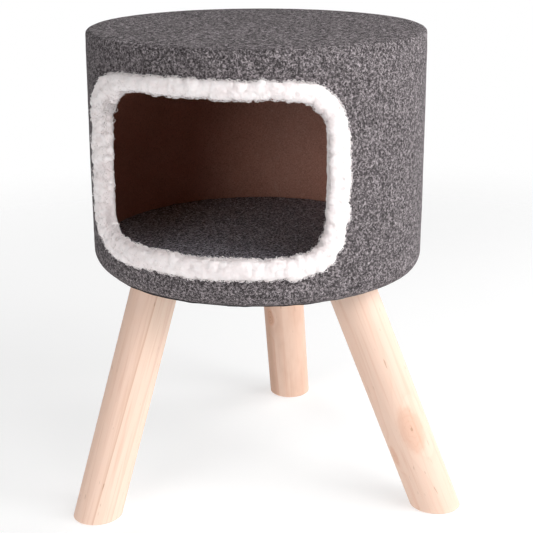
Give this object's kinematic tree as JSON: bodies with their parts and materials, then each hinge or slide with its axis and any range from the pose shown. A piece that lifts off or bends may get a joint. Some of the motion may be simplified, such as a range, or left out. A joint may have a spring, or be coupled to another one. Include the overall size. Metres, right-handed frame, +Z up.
{
  "type": "cat stool",
  "caption": "Round felt-covered cat cabin that doubles as a low stool: a drum with a fleece-edged side entrance and a loose floor pad, on splayed round wooden legs.",
  "frame": {"origin": "centre of the footprint's bounding box, on the floor", "axes": "+Z up; the entrance faces -Y; the drum's axis is upright at x = -31.6 mm, y = -19.4 mm"},
  "size_m": [0.4132, 0.433, 0.494],
  "materials": {
    "felt": "matte",
    "pad_felt": "matte",
    "fleece": "matte",
    "hardboard": "satin",
    "fibreboard": "matte",
    "foam": "matte",
    "dust_cover": "matte",
    "pine": "satin",
    "zinc": "satin"
  },
  "bodies": {
    "stool": {"drum_shell": "hardboard", "top_panel": "fibreboard", "top_foam": "foam", "top_felt": "felt", "side_felt": "felt", "opening_trim": "fleece", "base_panel": "fibreboard", "base_lining": "dust_cover", "leg_front_left": "pine", "hanger_bolt_front_left": "zinc", "tee_nut_front_left": "zinc", "leg_front_right": "pine", "hanger_bolt_front_right": "zinc", "tee_nut_front_right": "zinc", "leg_back": "pine", "hanger_bolt_back": "zinc", "tee_nut_back": "zinc", "top_staple_1": "zinc", "top_staple_2": "zinc", "top_staple_3": "zinc", "top_staple_4": "zinc", "top_staple_5": "zinc", "top_staple_6": "zinc", "top_staple_7": "zinc", "top_staple_8": "zinc", "base_staple_1": "zinc", "base_staple_2": "zinc", "base_staple_3": "zinc", "base_staple_4": "zinc", "base_staple_5": "zinc", "base_staple_6": "zinc", "base_staple_7": "zinc", "base_staple_8": "zinc", "seam_staple_1": "zinc", "seam_staple_2": "zinc", "seam_staple_3": "zinc", "hem_staple_1": "zinc", "hem_staple_2": "zinc", "hem_staple_3": "zinc", "hem_staple_4": "zinc", "hem_staple_5": "zinc", "hem_staple_6": "zinc", "hem_staple_7": "zinc", "hem_staple_8": "zinc", "hem_staple_9": "zinc"},
    "pad": {"pad_cover_top": "pad_felt", "pad_foam": "foam", "pad_cover_base": "dust_cover"}
  },
  "joints": [
    {"name": "pad_lift", "type": "slide", "parent": "stool", "child": "pad", "axis": [0, 0, 1], "range_m": [0, 0.12]}
  ]
}
